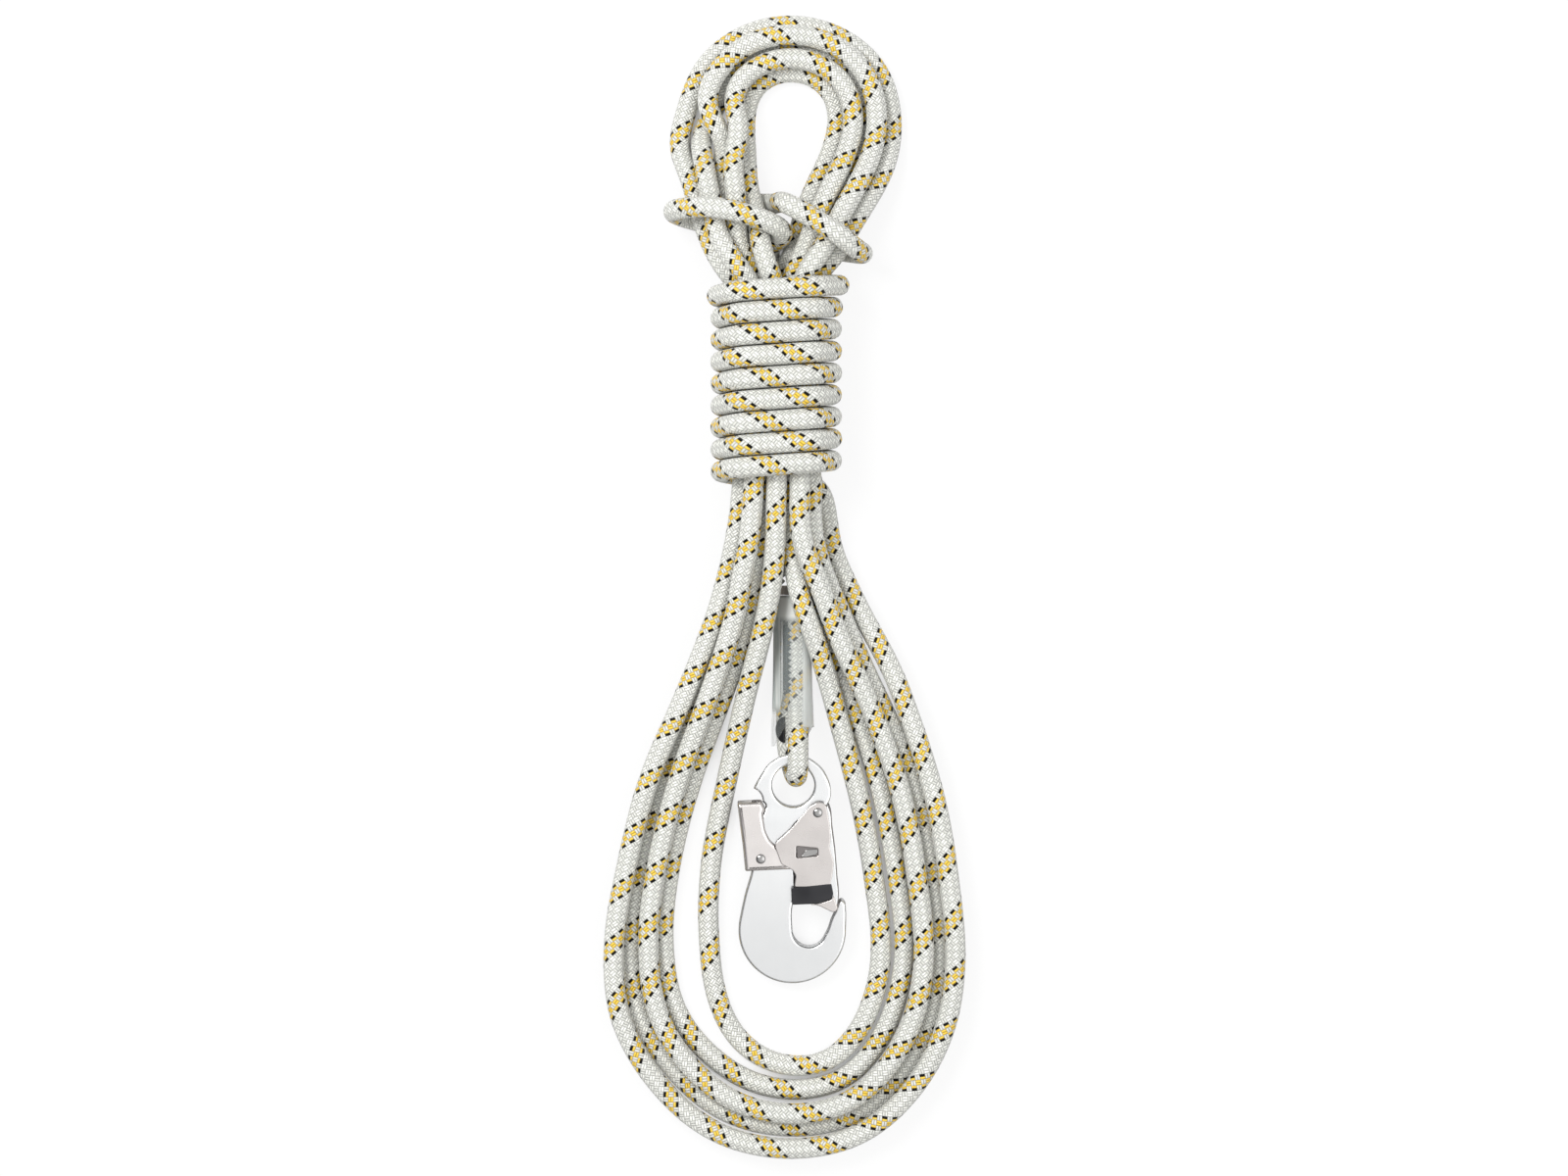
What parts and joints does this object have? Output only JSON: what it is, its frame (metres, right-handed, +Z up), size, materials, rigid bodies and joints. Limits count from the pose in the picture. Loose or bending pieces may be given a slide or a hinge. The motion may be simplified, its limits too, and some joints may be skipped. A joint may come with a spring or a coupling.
{
  "type": "tree climbing lanyard",
  "caption": "Coiled climbing lanyard: wrapped rope hank with a sewn, sleeved eye carrying a double-lock snap hook.",
  "frame": {"origin": "on the floor, under the middle of the bounding box of the hank as it lies flat", "axes": "+Y along the hank from its long loops to its head, +Z up from the floor to the side that faces the viewer, +X to the right"},
  "size_m": [0.1913, 0.609, 0.0543],
  "materials": {
    "rope": "glossy nylon sheath",
    "seal": "melted nylon",
    "eye_seal": "melted nylon",
    "sleeve": "clear",
    "thread": "matte thread",
    "label": "satin",
    "wedge": "gloss",
    "hook_steel": "bright satin plating",
    "gate_steel": "satin plating",
    "lever_steel": "satin plating",
    "tip_steel": "blackened",
    "pin_steel": "polished"
  },
  "bodies": {
    "rope": {"rope_loops": "rope", "neck_wraps": "rope", "lock_hitch": "rope", "tail_sealed_end": "seal", "rope_eye": "rope", "eye_sealed_end": "eye_seal", "clear_sleeve": "sleeve", "eye_stitching": "thread", "eye_label": "label", "eye_wedge": "wedge"},
    "hook": {"hook_body": "hook_steel", "gate_pin": "pin_steel", "lever_pin": "pin_steel", "gate_spacer_front": "pin_steel", "gate_spacer_back": "pin_steel"},
    "gate": {"gate_shell": "gate_steel", "gate_tip": "tip_steel"},
    "lever": {"lock_lever": "lever_steel"}
  },
  "joints": [
    {"name": "hook_swing", "type": "hinge", "parent": "rope", "child": "hook", "pos_m": [0.0046, -0.09197, 0.01715], "axis": [-1, 0, 0], "range_deg": [0, 75]},
    {"name": "gate_hinge", "type": "hinge", "parent": "hook", "child": "gate", "pos_m": [0.0177, -0.11954, 0.01447], "axis": [0, 0.0967, -0.9953], "range_deg": [0, 19], "stiffness_Nm_per_rad": 0.25, "springref_deg": -17.19},
    {"name": "lever_hinge", "type": "hinge", "parent": "hook", "child": "lever", "pos_m": [-0.0126, -0.14451, 0.01204], "axis": [0, 0.0967, -0.9953], "range_deg": [0, 9], "stiffness_Nm_per_rad": 0.25, "springref_deg": -17.19}
  ]
}
